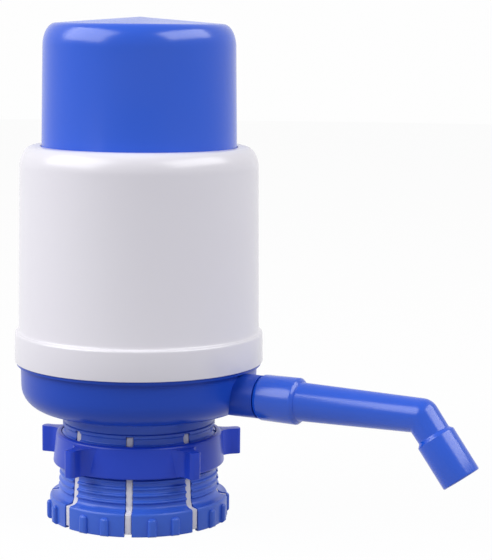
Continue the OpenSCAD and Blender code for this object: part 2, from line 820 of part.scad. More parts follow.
module spout() {
  end = elbow_len + nozzle_len;
  color("royalblue")
    difference() {
      union() {
        turned_x([
          [0, spout_x], [collar_ro - 1, spout_x], [collar_ro - 0.15, spout_x + 1.4],
          [collar_ro, collar_end - 1.2], [collar_ro - 1.2, collar_end], [0, collar_end]
        ]);
        translate([collar_end - 0.5, 0, spout_z])
          rotate([0, 90, 0])
            cylinder(r1 = tube_r, r2 = tube_end_r, h = tube_len + 0.5);
        translate([bend_x, 0, spout_z])
          sphere(r = tube_end_r + 0.1);
        at_nozzle() {
          cylinder(r = elbow_r, h = elbow_len);
          rotate_extrude()
            polygon([
              [0, elbow_len - 1.5], [elbow_r - 0.2, elbow_len - 1.5], [nozzle_r, elbow_len],
              [nozzle_r, end], [0, end]
            ]);
        }
      }
      turned_x([
        [0, spout_x - over], [socket_r, spout_x - over],
        [socket_r, snap_x - 1.1], [socket_r + snap_h, snap_x - 0.6],
        [socket_r + snap_h, snap_x + 0.6], [socket_r, snap_x + 1.5],
        [socket_r, socket_end], [0, socket_end]
      ]);
      bar_x(spout_bore_r, socket_end - over, bend_x);
      translate([bend_x, 0, spout_z])
        sphere(r = spout_bore_r + 0.05);
      at_nozzle() {
        cylinder(r = spout_bore_r, h = end);
        translate([0, 0, elbow_len + 1])
          cylinder(r = nozzle_bore_r, h = nozzle_len);
      }
    }
}

module spout_oring() {
  color("dimgray")
    translate([oring_x, 0, spout_z])
      rotate([0, 90, 0])
        rotate_extrude()
          translate([nipple_r - oring_d / 2, 0])
            circle(d = oring_d, $fn = 24);
}

base();
housing();
collet();
neck_seal();
mouth_gasket();
collet_screws();
clamp_ring();
valve_plate();
plate_gasket();
plate_screws();
outlet_valve();
bellows();
bellows_clamp();
return_spring();
press_cap();
inlet_plate();
inlet_ring();
inlet_valve();
spout();
spout_oring();
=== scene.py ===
# %% [markdown]
# # A hand pump for a water jug
#
# The pump stands on its foot with its axis on Z, and its spout points along +X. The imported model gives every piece
# in metres, in one frame. This lesson makes the pieces that are seen with mesh operators, gives each piece the finish
# of its real material, and lights it as a small product on white paper.

# %% Load the frame
from math import atan2, cos, degrees, pi, radians, sin, tan

import bmesh
import bpy
from mathutils import Matrix, Quaternion, Vector


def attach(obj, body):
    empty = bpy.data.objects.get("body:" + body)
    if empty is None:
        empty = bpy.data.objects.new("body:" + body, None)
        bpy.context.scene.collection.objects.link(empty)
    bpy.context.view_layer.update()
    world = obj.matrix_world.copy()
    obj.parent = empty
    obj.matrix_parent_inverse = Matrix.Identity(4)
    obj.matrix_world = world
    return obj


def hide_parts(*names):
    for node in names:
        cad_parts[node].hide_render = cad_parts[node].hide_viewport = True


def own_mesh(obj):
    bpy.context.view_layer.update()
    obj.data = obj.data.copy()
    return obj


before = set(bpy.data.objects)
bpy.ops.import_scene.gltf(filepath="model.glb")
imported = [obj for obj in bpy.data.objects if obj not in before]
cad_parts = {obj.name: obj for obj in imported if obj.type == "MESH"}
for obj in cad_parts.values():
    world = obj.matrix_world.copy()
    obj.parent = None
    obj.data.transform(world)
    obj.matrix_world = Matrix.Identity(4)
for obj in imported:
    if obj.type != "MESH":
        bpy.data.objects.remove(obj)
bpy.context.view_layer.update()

# %% [markdown]
# ## Camera
#
# The photograph was taken with a long lens, a little above the pump's shoulder and a little to the spout's side. A
# camera that is turned by a track quaternion needs only its place and the direction of its view. The last small turn
# is the tilt of the photograph itself.

# %% Camera
camera_data = bpy.data.cameras.new("camera")
camera = bpy.data.objects.new("camera", camera_data)
bpy.context.scene.collection.objects.link(camera)
bpy.context.scene.camera = camera
camera_data.lens = 119.8
camera_data.sensor_fit = "VERTICAL"
camera_data.sensor_height = 36
camera_data.clip_start = 0.05
camera_data.shift_x = -0.0015
camera.location = (0.39454, -0.64797, 0.2056)
camera_side = 28
side, pitch, tilt = radians(camera_side), radians(8.02), radians(0.56)
view = Vector((-sin(side) * cos(pitch), cos(side) * cos(pitch), -sin(pitch)))
turn = view.to_track_quat("-Z", "Y") @ Quaternion((0, 0, 1), tilt)
camera.rotation_euler = turn.to_euler()
print("camera lens", camera_data.lens, "mm")

# %% [markdown]
# ## Helpers for materials
#
# A material is a tree of nodes with links between their sockets. One small function adds a node, fills its sockets and
# links it, so that each material reads as a short recipe. Colours are chosen on a screen, as sRGB hex codes, but light
# is summed up in linear values, so another function turns the one into the other.

# %% Helpers for materials
def hex_to_linear(code):
    """An sRGB hex colour as linear RGBA."""
    channels = [int(code[i:i + 2], 16) / 255 for i in (1, 3, 5)]
    return tuple(c / 12.92 if c <= 0.04045 else ((c + 0.055) / 1.055) ** 2.4 for c in channels) + (1,)


def add_node(tree, kind, sockets=None, **settings):
    """Adds a node, sets its settings, and fills its sockets with values or links."""
    node = tree.nodes.new(kind)
    for key, value in settings.items():
        setattr(node, key, value)
    for key, value in (sockets or {}).items():
        if isinstance(value, bpy.types.NodeSocket):
            tree.links.new(value, node.inputs[key])
        else:
            node.inputs[key].default_value = value
    return node


def new_material(name):
    """An empty node material and its tree."""
    material = bpy.data.materials.new(name)
    material.use_nodes = True
    material.node_tree.nodes.clear()
    return material, material.node_tree


def background_rays(tree):
    """1 for the rays that see the background: camera, glossy and transmission rays."""
    path = add_node(tree, "ShaderNodeLightPath").outputs
    either = add_node(tree, "ShaderNodeMath", {0: path["Is Camera Ray"], 1: path["Is Glossy Ray"]}, operation="MAXIMUM")
    return add_node(tree, "ShaderNodeMath", {0: either.outputs[0], 1: path["Is Transmission Ray"]},
                    operation="MAXIMUM").outputs[0]


print("a screen's middle grey is", round(hex_to_linear("#808080")[0], 3), "in linear light")

# %% [markdown]
# ## Floor, background and lamps
#
# Product photographs of white goods are taken on white paper that is lit until it is white itself. The paper's look to
# the camera is mostly light of its own here, so that it stays white while the lamps on the pump stay at a plain level,
# and the small part that is left to the lamps keeps the pump's shadow. A wide panel on the left and a slimmer one on
# the right give the soft bands on the plastic.

# %% Floor
# Matt background paper: diffuse, with a share of its own light where it is seen, and a greyer bounce on the pump
paper_glow, paper_radius = 0.965, 3
paper, tree = new_material("matt_background_paper")
background = background_rays(tree)
tone = add_node(tree, "ShaderNodeMix", {"Factor": background, "A": hex_to_linear("#bebec2"),
                                        "B": hex_to_linear("#f4f4f6")}, data_type="RGBA")
matt = add_node(tree, "ShaderNodeBsdfDiffuse", {"Color": tone.outputs["Result"]})
own = add_node(tree, "ShaderNodeEmission", {"Color": (1, 1, 1, 1), "Strength": 1})
share = add_node(tree, "ShaderNodeMath", {0: background, 1: paper_glow}, operation="MULTIPLY")
mixed = add_node(tree, "ShaderNodeMixShader", {0: share.outputs[0], 1: matt.outputs[0], 2: own.outputs[0]})
add_node(tree, "ShaderNodeOutputMaterial", {"Surface": mixed.outputs[0]})

bm = bmesh.new()
bmesh.ops.create_circle(bm, cap_ends=True, segments=96, radius=paper_radius)
floor_mesh = bpy.data.meshes.new("floor")
bm.to_mesh(floor_mesh)
bm.free()
floor = bpy.data.objects.new("floor", floor_mesh)
floor.data.materials.append(paper)
bpy.context.scene.collection.objects.link(floor)
print("floor of", round(floor.dimensions.x, 1), "m")

# %% World
# The world is white where it is seen, and a dim room where it lights the pump
room_light, white_light = 0.08, 0.99
world = bpy.data.worlds.new("studio")
bpy.context.scene.world = world
world.use_nodes = True
tree = world.node_tree
tree.nodes.clear()
background = background_rays(tree)
room = add_node(tree, "ShaderNodeBackground", {"Color": hex_to_linear("#f2f2f8"), "Strength": room_light})
white = add_node(tree, "ShaderNodeBackground", {"Color": (1, 1, 1, 1), "Strength": white_light})
seen = add_node(tree, "ShaderNodeMixShader", {0: background, 1: room.outputs[0], 2: white.outputs[0]})
add_node(tree, "ShaderNodeOutputWorld", {"Surface": seen.outputs[0]})
bpy.context.scene.view_settings.view_transform = "Standard"
print("the world lights the pump at", room_light, "and is seen at", white_light)

# %% Lamps
pump_middle = Vector((0.02, 0, 0.1))


def panel(name, azimuth, elevation, distance, width, height, strength):
    """A soft panel that faces the pump. The azimuth counts from the camera, to the right."""
    lamp = bpy.data.lights.new(name, "AREA")
    lamp.shape = "RECTANGLE"
    lamp.size, lamp.size_y = width, height
    lamp.energy = strength * width * height * pi
    holder = bpy.data.objects.new(name, lamp)
    bpy.context.scene.collection.objects.link(holder)
    a, e = radians(camera_side - 90 + azimuth), radians(elevation)
    place = Vector((cos(a) * cos(e), sin(a) * cos(e), sin(e)))
    holder.location = pump_middle + place * distance
    holder.rotation_euler = (-place).to_track_quat("-Z", "Y").to_euler()
    print(name, "radiance", round(strength, 2))


panel("panel_left", -71, 38, 1.3, 1.4, 0.95, 4.3)
panel("panel_right", 70, 42, 1.3, 1.4, 0.66, 4.5)

# %% [markdown]
# ## Helpers for turned pieces
#
# Nearly every shell of this pump is round, as it leaves its mould. Half of its section, spun about the axis, makes it.
# The corners of the section are bevelled before the spin, because a moulded edge is never sharp, and one bevelled
# corner becomes a rounded edge all the way round. Where the section touches the axis, the merge closes the pole.

# %% Turned pieces
MM = 0.001


def arc(cx, cz, rx, rz, start, end, steps=10):
    """Points of an elliptical arc, in millimetres and degrees."""
    return [(cx + rx * cos(radians(start + (end - start) * i / steps)),
             cz + rz * sin(radians(start + (end - start) * i / steps))) for i in range(steps + 1)]


def round_corners(bm, radius, least_turn=25, least_side=0.45, sharp=()):
    """Bevels an outline's corners of at least so many degrees and millimetres, but none at the sharp heights."""
    corners = []
    for v in bm.verts:
        if len(v.link_edges) == 2 and all(abs(v.co.z - z * MM) > 1e-6 for z in sharp):
            a, b = [(e.other_vert(v).co - v.co) for e in v.link_edges]
            shorter = min(a.length, b.length)
            if shorter > least_side * MM and pi - a.angle(b) > radians(least_turn):
                corners.append(v)
    bmesh.ops.bevel(bm, geom=corners, offset=radius * MM, offset_type="OFFSET", segments=3, profile=0.5,
                    affect="VERTICES", clamp_overlap=True, material=-1)


def turned(outline, soft=0.3, steps=160, closed=True, sharp=(), angle=2 * pi):
    """A bmesh of an outline of (radius, height) points in millimetres, spun about Z."""
    bm = bmesh.new()
    ring = [bm.verts.new((r * MM, 0, z * MM)) for r, z in outline]
    for a, b in zip(ring, ring[1:] + ring[:1] if closed else ring[1:]):
        bm.edges.new((a, b))
    if soft:
        round_corners(bm, soft, sharp=sharp)
    bmesh.ops.spin(bm, geom=bm.verts[:] + bm.edges[:], cent=(0, 0, 0), axis=(0, 0, 1), dvec=(0, 0, 0), angle=angle,
                   steps=steps, use_merge=angle == 2 * pi, use_duplicate=False)
    bmesh.ops.remove_doubles(bm, verts=bm.verts, dist=1e-6)
    bmesh.ops.recalc_face_normals(bm, faces=bm.faces)
    return bm


def repeated(bm, count):
    """Copies all of a bmesh round the pump's axis, count times in all."""
    bmesh.ops.spin(bm, geom=bm.verts[:] + bm.edges[:] + bm.faces[:], cent=(0, 0, 0), axis=(0, 0, 1), dvec=(0, 0, 0),
                   angle=2 * pi * (count - 1) / count, steps=count - 1, use_merge=False, use_duplicate=True)


def joined(parts):
    """One bmesh that holds all the parts."""
    whole = bmesh.new()
    for part in parts:
        mesh = bpy.data.meshes.new("part")
        part.to_mesh(mesh)
        part.free()
        whole.from_mesh(mesh)
        bpy.data.meshes.remove(mesh)
    return whole


def shade(bm, sharp=32):
    """Smooth shading that stops at edges which turn by more than sharp degrees."""
    for face in bm.faces:
        face.smooth = True
    for edge in bm.edges:
        edge.smooth = not (edge.is_manifold and edge.calc_face_angle() > radians(sharp))


def finished(bm, name, body, material, slot, *nodes):
    """Makes the piece's object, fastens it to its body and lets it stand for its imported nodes."""
    shade(bm)
    mesh = bpy.data.meshes.new(name)
    bm.to_mesh(mesh)
    bm.free()
    piece = bpy.data.objects.new(name, mesh)
    bpy.context.scene.collection.objects.link(piece)
    mesh.materials.append(material)
    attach(piece, body)
    if nodes:
        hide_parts(*nodes)
    size = [round(s * 1000, 1) for s in piece.dimensions]
    print(name, "is", size, "mm with", len(mesh.polygons), "faces")
    return piece


print("a quarter arc has", len(arc(0, 0, 1, 1, 0, 90)), "points")

# %% [markdown]
# ## Moulded plastics
#
# All hard pieces are injection moulded. Glossy moulded plastic gives a clear but slightly wavy reflection: the wave is
# the orange peel that the steel of the mould and the shrinking of the plastic leave, about a millimetre or two wide.
# Handling adds faint cloudy changes of gloss, and the flow of the melt adds faint changes of shade. Three noise
# patterns give these, each with its scale worked out from its real size: 45 mm for the flow, 30 mm for the clouds and
# 1.8 mm for the peel.

# %% Moulded plastics
flow_size, haze_size, peel_size, peel_depth = 0.045, 0.03, 0.0018, 0.0002


def moulded_plastic(name, colour, flow_colour, gloss=0.24, dull=0.34, ior=1.49, peel=0.05, mirror=0.5):
    """Injection-moulded plastic: two close shades, a wavy skin and clouded gloss."""
    material, tree = new_material(name)
    place = add_node(tree, "ShaderNodeTexCoord").outputs["Object"]
    flow = add_node(tree, "ShaderNodeTexNoise", {"Vector": place, "Scale": 1 / flow_size, "Detail": 2,
                                                 "Roughness": 0.4})
    shades = add_node(tree, "ShaderNodeMix", {"Factor": flow.outputs["Fac"], "A": hex_to_linear(colour),
                                              "B": hex_to_linear(flow_colour)}, data_type="RGBA")
    handled = add_node(tree, "ShaderNodeTexNoise", {"Vector": place, "Scale": 1 / haze_size, "Detail": 1,
                                                    "Roughness": 0.4})
    haze = add_node(tree, "ShaderNodeMapRange", {"Value": handled.outputs["Fac"], "From Min": 0.3, "From Max": 0.75,
                                                 "To Min": gloss, "To Max": dull})
    skin = add_node(tree, "ShaderNodeTexNoise", {"Vector": place, "Scale": 1 / peel_size, "Detail": 1,
                                                 "Roughness": 0.3})
    wave = add_node(tree, "ShaderNodeBump", {"Height": skin.outputs["Fac"], "Strength": peel,
                                             "Distance": peel_depth})
    surface = add_node(tree, "ShaderNodeBsdfPrincipled", {
        "Base Color": shades.outputs["Result"], "Roughness": haze.outputs["Result"], "IOR": ior,
        "Specular IOR Level": mirror, "Normal": wave.outputs["Normal"]})
    add_node(tree, "ShaderNodeOutputMaterial", {"Surface": surface.outputs[0]})
    print("material", name)
    return material


# ABS of the cap and the spout: the clearest blue and the cleanest gloss
blue_abs = moulded_plastic("glossy_moulded_blue_abs", "#1a59da", "#1855d2", gloss=0.17, dull=0.26, ior=1.53,
                          peel=0.035)
# Polypropylene of the base: the cap's pigment painted deeper, as painted shade for the shade under the housing's band;
# a little softer in gloss
blue_pp_painted_shade = moulded_plastic("moulded_blue_polypropylene_painted_shade", "#1e4abe", "#1b46b6", gloss=0.28, dull=0.36, mirror=0.25)
# The collet's blue is painted paler than the base's: painted light, for the light that the white floor bounces up on to
# it
collet_pp_painted_bounce = moulded_plastic("moulded_blue_polypropylene_painted_bounce_light", "#3b68d8", "#3863d0", gloss=0.28, dull=0.36,
                            mirror=0.4)
# The wing ring's blue is deeper and more violet than the cap's: the violet is its own tone, and the depth is partly
# painted shade from the bowl above it
ring_pp_part_painted_shade = moulded_plastic("moulded_violet_blue_polypropylene_part_painted_shade", "#2047cc", "#1d42c2", gloss=0.28, dull=0.36,
                          mirror=0.35)
# White ABS of the housing, very slightly violet
white_abs = moulded_plastic("glossy_moulded_white_abs", "#eae8ef", "#e8e5ed", gloss=0.21, dull=0.265, ior=1.53,
                            peel=0.03)
# Unpigmented polypropylene of the hidden plates and rings
natural_pp = moulded_plastic("moulded_natural_polypropylene", "#e4e4de", "#dcdcd6", gloss=0.34, dull=0.46)

# %% [markdown]
# ## Soft and metal finishes
#
# The bellows is blow-moulded from soft polyethylene, which is milky and waxy. The neck's sleeve and gasket are white
# silicone, matt, with a grain of fine talc. The valve discs and the small seals are black nitrile rubber. The spring is
# drawn steel, whose die leaves fine lines along the wire, and the screws are steel with a bright zinc coat. The talc
# and the lines are too fine to show, so they are drawn at a few tenths of a millimetre.

# %% Polyethylene
# Blow-moulded polyethylene: milky, so some light passes under its surface, and waxy
cloud_size, ripple_size = 0.02, 0.003
bellows_pe, tree = new_material("blow_moulded_polyethylene")
place = add_node(tree, "ShaderNodeTexCoord").outputs["Object"]
cloud = add_node(tree, "ShaderNodeTexNoise", {"Vector": place, "Scale": 1 / cloud_size, "Detail": 3})
milk = add_node(tree, "ShaderNodeMix", {"Factor": cloud.outputs["Fac"], "A": hex_to_linear("#dddcd4"),
                                        "B": hex_to_linear("#e6e6e0")}, data_type="RGBA")
ripple = add_node(tree, "ShaderNodeTexNoise", {"Vector": place, "Scale": 1 / ripple_size, "Detail": 2})
skin = add_node(tree, "ShaderNodeBump", {"Height": ripple.outputs["Fac"], "Strength": 0.12, "Distance": 0.0003})
surface = add_node(tree, "ShaderNodeBsdfPrincipled", {
    "Base Color": milk.outputs["Result"], "Roughness": 0.42, "IOR": 1.51, "Subsurface Weight": 0.25,
    "Subsurface Radius": (0.002, 0.002, 0.0018), "Subsurface Scale": 1.0, "Normal": skin.outputs["Normal"]})
add_node(tree, "ShaderNodeOutputMaterial", {"Surface": surface.outputs[0]})
print("material", bellows_pe.name)


# %% Rubber
def moulded_rubber(name, colour, dusty, rough, grain=0.0006, patch=0.008):
    """Matt rubber: a fine grain, and a paler bloom in patches."""
    material, tree = new_material(name)
    place = add_node(tree, "ShaderNodeTexCoord").outputs["Object"]
    bloom = add_node(tree, "ShaderNodeTexNoise", {"Vector": place, "Scale": 1 / patch, "Detail": 4,
                                                  "Roughness": 0.6})
    shades = add_node(tree, "ShaderNodeMix", {"Factor": bloom.outputs["Fac"], "A": hex_to_linear(colour),
                                              "B": hex_to_linear(dusty)}, data_type="RGBA")
    talc = add_node(tree, "ShaderNodeTexNoise", {"Vector": place, "Scale": 1 / grain, "Detail": 2})
    skin = add_node(tree, "ShaderNodeBump", {"Height": talc.outputs["Fac"], "Strength": 0.25, "Distance": 0.0001})
    surface = add_node(tree, "ShaderNodeBsdfPrincipled", {
        "Base Color": shades.outputs["Result"], "Roughness": rough, "IOR": 1.43, "Normal": skin.outputs["Normal"]})
    add_node(tree, "ShaderNodeOutputMaterial", {"Surface": surface.outputs[0]})
    print("material", name)
    return material


white_silicone = moulded_rubber("moulded_white_silicone", "#dedce4", "#e8e6ec", 0.55)
black_nitrile = moulded_rubber("moulded_black_nitrile_rubber", "#1c1c1e", "#26262a", 0.5)


# %% Steel
def bright_steel(name, colour, rough, line):
    """Bare metal with fine lines that run round the pump, as wire and turned heads have."""
    material, tree = new_material(name)
    place = add_node(tree, "ShaderNodeTexCoord").outputs["Object"]
    squeezed = add_node(tree, "ShaderNodeMapping", {"Vector": place, "Scale": (1, 1, 12)})
    lines = add_node(tree, "ShaderNodeTexNoise", {"Vector": squeezed.outputs[0], "Scale": 1 / line, "Detail": 3})
    worn = add_node(tree, "ShaderNodeMapRange", {"Value": lines.outputs["Fac"], "To Min": rough - 0.08,
                                                 "To Max": rough + 0.1})
    skin = add_node(tree, "ShaderNodeBump", {"Height": lines.outputs["Fac"], "Strength": 0.1, "Distance": 0.00005})
    surface = add_node(tree, "ShaderNodeBsdfPrincipled", {
        "Base Color": hex_to_linear(colour), "Metallic": 1, "Roughness": worn.outputs["Result"],
        "Normal": skin.outputs["Normal"]})
    add_node(tree, "ShaderNodeOutputMaterial", {"Surface": surface.outputs[0]})
    print("material", name)
    return material


spring_steel = bright_steel("drawn_spring_steel", "#c4c6c9", 0.38, 0.004)
zinc_steel = bright_steel("zinc_plated_steel", "#cfd2d6", 0.36, 0.002)

# %% [markdown]
# ## Press cap
#
# The cap is a deep cup with a rounded edge and a shallow pointed crown. Under the white housing it widens to a brim
# and a skirt, which guides it and stops it from coming out. Inside the crown are two round ribs that hold the inlet
# plate. One open section from the axis, out, down and back up to the axis, spun once, makes it all as one skin.

# %% Press cap: sizes
body_z, body_top, body_r, body_draft, body_wall = 65.6, 153.6, 49.3, 0.67, 2.0
band_h, shoulder_w, shoulder_h, running_gap = 12.8, 5.5, 8.6, 0.4
shoulder_z = body_top - shoulder_h
body_upper_r = body_r - (shoulder_z - body_z - band_h) * tan(radians(body_draft))
shoulder_r = body_upper_r - shoulder_w
skirt_r = body_upper_r - body_wall - running_gap
brim_z, skirt_z, cap_wall = 151.3, 141.3, 2.0
cap_edge_z, cap_edge_r, cap_draft = 196.6, 39.0, 0.85


def cap_r(z):
    """The cap's outer radius at a height: the draft makes it wider downwards."""
    return cap_edge_r + (cap_edge_z - z) * tan(radians(cap_draft))


print("the cap is", round(2 * cap_r(body_top), 1), "mm wide where it enters the housing")

# %% Press cap
crown_z, crown_rise = cap_edge_z + 6.3, 2.6
round_r, round_z, round_h = 33.6, cap_edge_z - 3.1, 9.4
inside_r, inside_w, inside_h = 34.1, 2.9, 4.3
outer_rib = [(28.95, 201.24), (28.95, 197.9), (27.15, 197.9), (27.15, 201.38)]
inner_rib = [(25.6, 201.5), (25.6, 199.8), (24.0, 199.8), (24.0, 201.62)]
cap_outline = (
    [(0, crown_z + crown_rise)]
    + arc(round_r, round_z, cap_r(round_z) - round_r, round_h, 90, 0, 24)
    + [(cap_r(brim_z), brim_z)]
    + arc(shoulder_r, shoulder_z, skirt_r - shoulder_r, brim_z - shoulder_z, 90, 0, 8)
    + [(skirt_r, skirt_z), (skirt_r - cap_wall, skirt_z), (skirt_r - cap_wall, shoulder_z),
       (shoulder_r - 0.5, brim_z - cap_wall), (cap_r(brim_z) - cap_wall, brim_z - cap_wall)]
    + arc(inside_r, cap_edge_z, inside_w, inside_h, 0, 90, 8)
    + outer_rib + inner_rib
    + [(0, crown_z + crown_rise - cap_wall)]
)
finished(turned(cap_outline, soft=0.25, closed=False), "press_cap_shell", "cap", blue_abs, "blue_shell", "press_cap")

# %% [markdown]
# ## Housing
#
# The white drum is open at both ends. Its shoulder is a quarter of an ellipse, its wall leans in by less than a degree
# so that it leaves the mould, and the wider band at its foot snaps over a bead on the base.

# %% Housing
band_r, band_top, band_round, rim_r = 51.0, body_z + band_h, 1.0, 49.0
lip_r = cap_r(body_top - body_wall) + running_gap
snap_groove = [(rim_r, 75.2), (rim_r, 72.6), (49.5, 71.5), (49.5, 70.3), (rim_r, 69.7)]
housing_outline = (
    [(rim_r, body_z), (band_r, body_z), (band_r - 0.15, band_top - 1.5)]
    + arc(band_r - 0.15 - band_round, band_top - 1.5, band_round, 1.1, 0, 80, 6)
    + [(body_r + 0.25, band_top - 0.2), (body_r, band_top + 0.9)]
    + arc(shoulder_r, shoulder_z, shoulder_w, shoulder_h, 0, 90, 18)
    + [(lip_r, body_top), (lip_r, body_top - body_wall)]
    + arc(shoulder_r, shoulder_z, shoulder_w - body_wall, shoulder_h - body_wall, 90, 0, 10)
    + [(body_r - body_wall, band_top + 1), (body_r - body_wall, 76.8)] + snap_groove
)
finished(turned(housing_outline, soft=0.35), "housing_shell", "pump_body", white_abs, "white_shell", "housing")

# %% [markdown]
# ## Bellows
#
# The bellows is what pumps. It is a tube of zigzag folds, blown from one piece of tube, so its wall is even and its
# folds are rounded. The outer line of the section goes up the folds and the inner line comes down again one wall
# apart.

# %% Bellows
fold_low, fold_high, folds, fold_out, fold_in = 68.3, 196.3, 10, 35.0, 27.0
pitch_z = (fold_high - fold_low) / folds
going_up = [(r, fold_low + (i + t) * pitch_z) for i in range(folds)
            for r, t in ((fold_in + 1, 0.02), (fold_out, 0.42), (fold_out, 0.58), (fold_in + 1, 0.98))]
coming_down = [(r, fold_low + (i + t) * pitch_z) for i in reversed(range(folds))
               for r, t in ((fold_in, 0.98), (fold_out - 1, 0.58), (fold_out - 1, 0.42), (fold_in, 0.02))]
lower_flange = [(fold_in, 66.5), (43.2, 66.5), (43.2, 67.7), (fold_in + 1, 67.7)]
upper_lip = [(fold_in + 1, 197.5), (22.85, 197.5), (22.85, fold_high), (fold_in, fold_high)]
bellows_outline = lower_flange + going_up + upper_lip + coming_down
bellows = finished(turned(bellows_outline, soft=0.5, steps=128), "bellows_skin", "pump_body", bellows_pe, "bellows",
                   "bellows")
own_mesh(bellows)

# %% [markdown]
# ## Return spring
#
# A compression spring is wire wound on a mandrel, with its first and last turns laid closed so that it stands flat. A
# spin that also climbs winds it: the same operator that turns a lathe section makes a coil when its steps move up.
# Three spins in a row give a closed turn, the open turns and the last closed turn.

# %% Return spring
spring_r, wire_r, spring_low, spring_high, turns = 20.0, 1.0, 66.6, 197.5, 9
closed_pitch, steps_a_turn = 2.5, 40
open_pitch = (spring_high - spring_low - 2 * wire_r - 2 * closed_pitch) / (turns - 2)
bm = bmesh.new()
bmesh.ops.create_circle(
    bm, cap_ends=True, segments=12, radius=wire_r * MM,
    matrix=Matrix.Translation((spring_r * MM, 0, (spring_low + wire_r) * MM)) @ Matrix.Rotation(pi / 2, 4, "X"))
end_face = bm.faces[:]
for count, climb in ((1, closed_pitch), (turns - 2, open_pitch), (1, closed_pitch)):
    steps = count * steps_a_turn
    end_edges = [e for f in end_face for e in f.edges]
    end_verts = [v for f in end_face for v in f.verts]
    out = bmesh.ops.spin(bm, geom=end_face + end_edges + end_verts, cent=(0, 0, 0), axis=(0, 0, 1),
                         dvec=(0, 0, climb * count / steps * MM), angle=2 * pi * count, steps=steps,
                         use_merge=False, use_duplicate=False)
    end_face = [g for g in out["geom_last"] if isinstance(g, bmesh.types.BMFace)]
bmesh.ops.remove_doubles(bm, verts=bm.verts, dist=1e-7)
bmesh.ops.recalc_face_normals(bm, faces=bm.faces)
spring = finished(bm, "return_spring_coil", "pump_body", spring_steel, "steel", "return_spring")
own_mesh(spring)

# %% [markdown]
# ## Spout
#
# The spout is one moulding: a collar that turns on the base's nipple, a tube that narrows a little, a bend that is
# round on its outside and sharp on its inside, and a wider nozzle. A ring of vertices is extruded from station to
# station. At the bend, the half of the ring on the inside meets the mitre between the two tubes, and the half on the
# outside is spun about the bend's own centre, which makes the rounded knee. The bore is made the same way, and a ring
# of faces joins the two skins at both ends, each vertex to its nearest one.

# %% Spout: rings of vertices
spout_z, bend_x, nozzle_drop = 55.5, 126.3, 53.5
bend = Vector((bend_x, 0, spout_z)) * MM
ahead = Vector((1, 0, 0))
down = Vector((cos(radians(nozzle_drop)), 0, -sin(radians(nozzle_drop))))


def loop_edges(verts):
    """The edges between the vertices of one ring."""
    ring = set(verts)
    return [e for e in {e for v in verts for e in v.link_edges} if set(e.verts) <= ring]


def extrude_ring(bm, verts):
    """Extrudes a ring in place and gives back the new one."""
    out = bmesh.ops.extrude_edge_only(bm, edges=loop_edges(verts))
    return [g for g in out["geom"] if isinstance(g, bmesh.types.BMVert)]


def place_ring(verts, centre, axis, radius):
    """Moves a ring on to the plane through centre across axis, and gives it a radius."""
    for v in verts:
        arm = v.co - centre
        arm -= axis * arm.dot(axis)
        v.co = centre + arm.normalized() * radius * MM


print("the nozzle points", nozzle_drop, "degrees down")


# %% Spout: a bent skin
def bent_tube(bm, before, after, segments=64):
    """A skin through (x, radius) stations, round the bend, and on through (distance, radius) stations."""
    start = Matrix.Translation(Vector((before[0][0], 0, spout_z)) * MM)
    ring = bmesh.ops.create_circle(bm, cap_ends=False, segments=segments, radius=before[0][1] * MM,
                                   matrix=start @ Matrix.Rotation(pi / 2, 4, "Y"))["verts"]
    first = ring
    for i, (x, radius) in enumerate(before):
        if i:
            ring = extrude_ring(bm, ring)
        if i < len(before) - 1:
            place_ring(ring, Vector((x, 0, spout_z)) * MM, ahead, radius)
    radius = before[-1][1]
    place_ring(ring, bend, ahead, radius)
    low = [v for v in ring if v.co.z < bend.z - 1e-7]
    high = [v for v in ring if v.co.z >= bend.z - 1e-7]
    for v in low:
        v.co.x += (v.co.z - bend.z) * tan(radians(nozzle_drop / 2))
    out = bmesh.ops.spin(bm, geom=high + loop_edges(high), cent=bend, axis=(0, 1, 0), dvec=(0, 0, 0),
                         angle=radians(nozzle_drop), steps=12, use_merge=False, use_duplicate=False)
    swung = [g for g in out["geom_last"] if isinstance(g, bmesh.types.BMVert)]
    # The ring's two vertices on the bend's own axis stay where they are as it is spun, so their copies are welded
    knee = {v for v in bm.verts
            if (v.co - bend).length < (radius + 0.01) * MM and abs(v.co.y) > (radius - 0.001) * MM}
    keep = [v for v in knee if v in high]
    copies = [v for v in knee if v not in keep]
    bmesh.ops.weld_verts(bm, targetmap={v: min(keep, key=lambda k: (k.co - v.co).length) for v in copies})
    ring = low + [v for v in swung if v.is_valid] + keep
    for distance, radius in after:
        ring = extrude_ring(bm, ring)
        place_ring(ring, bend + down * distance * MM, down, radius)
    return first, ring


def close_end(bm, outer, inner):
    """A flat ring of faces from each edge of the outer ring to the nearest vertices of the inner one."""
    nearest = {v: min(inner, key=lambda w: (w.co - v.co).length) for v in outer}
    for edge in loop_edges(outer):
        a, b = edge.verts
        bm.faces.new((a, b, nearest[b], nearest[a]))


# %% Spout: outside and bore
bm = bmesh.new()
outer = bent_tube(
    bm,
    [(57.2, 8.35), (58.6, 9.2), (73.7, 9.35), (74.9, 8.15), (75.0, 7.7), (bend_x, 6.8)],
    [(8.4, 6.7), (8.8, 6.75), (10.0, 7.9), (28.0, 7.9), (28.4, 7.65)])
bore = bent_tube(
    bm,
    [(57.2, 6.95), (68.3, 6.95), (68.8, 7.4), (70.0, 7.4), (70.9, 6.95), (73.4, 6.95), (73.4, 5.0), (bend_x, 5.0)],
    [(11.0, 5.0), (11.0, 6.1), (28.4, 6.1)])
for a, b in zip(outer, bore):
    close_end(bm, a, b)
bmesh.ops.recalc_face_normals(bm, faces=bm.faces)
